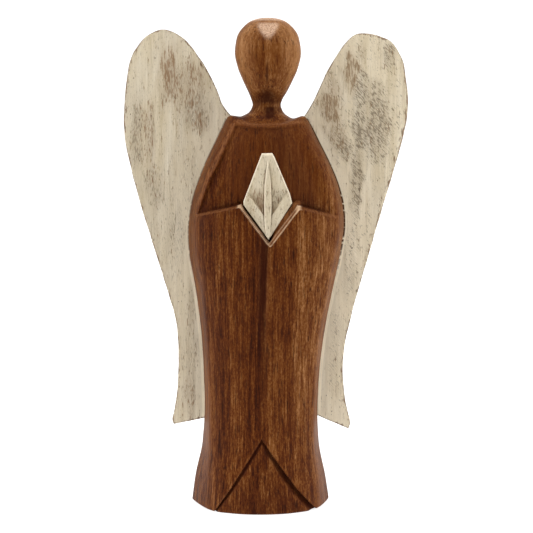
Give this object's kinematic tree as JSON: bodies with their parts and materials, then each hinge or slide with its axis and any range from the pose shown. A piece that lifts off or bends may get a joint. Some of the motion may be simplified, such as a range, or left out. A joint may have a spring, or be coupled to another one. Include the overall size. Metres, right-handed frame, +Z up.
{
  "type": "carved wooden angel figurine",
  "caption": "Carved wooden angel: a tapering robed figure with a faceless egg-shaped head, praying hands in a sunken chest, and tall whitewashed plank wings.",
  "frame": {"origin": "on the surface that the figure stands on, under the middle of its bounding box", "axes": "+Z up; the figure faces -Y; the wings spread along X"},
  "size_m": [0.1801, 0.059, 0.3],
  "materials": {
    "stained_wood": "reddish-brown stain with a satin wax polish over open grain",
    "whitewash": "matt cream wash rubbed back to the wood in patches and along the edges",
    "peg_wood": "plain turned hardwood, lightly oiled"
  },
  "bodies": {
    "root": {"body": "stained_wood", "praying_hands": "whitewash", "left_wing": "whitewash", "right_wing": "whitewash", "peg_left_upper": "peg_wood", "peg_left_lower": "peg_wood", "peg_right_upper": "peg_wood", "peg_right_lower": "peg_wood"}
  },
  "joints": []
}
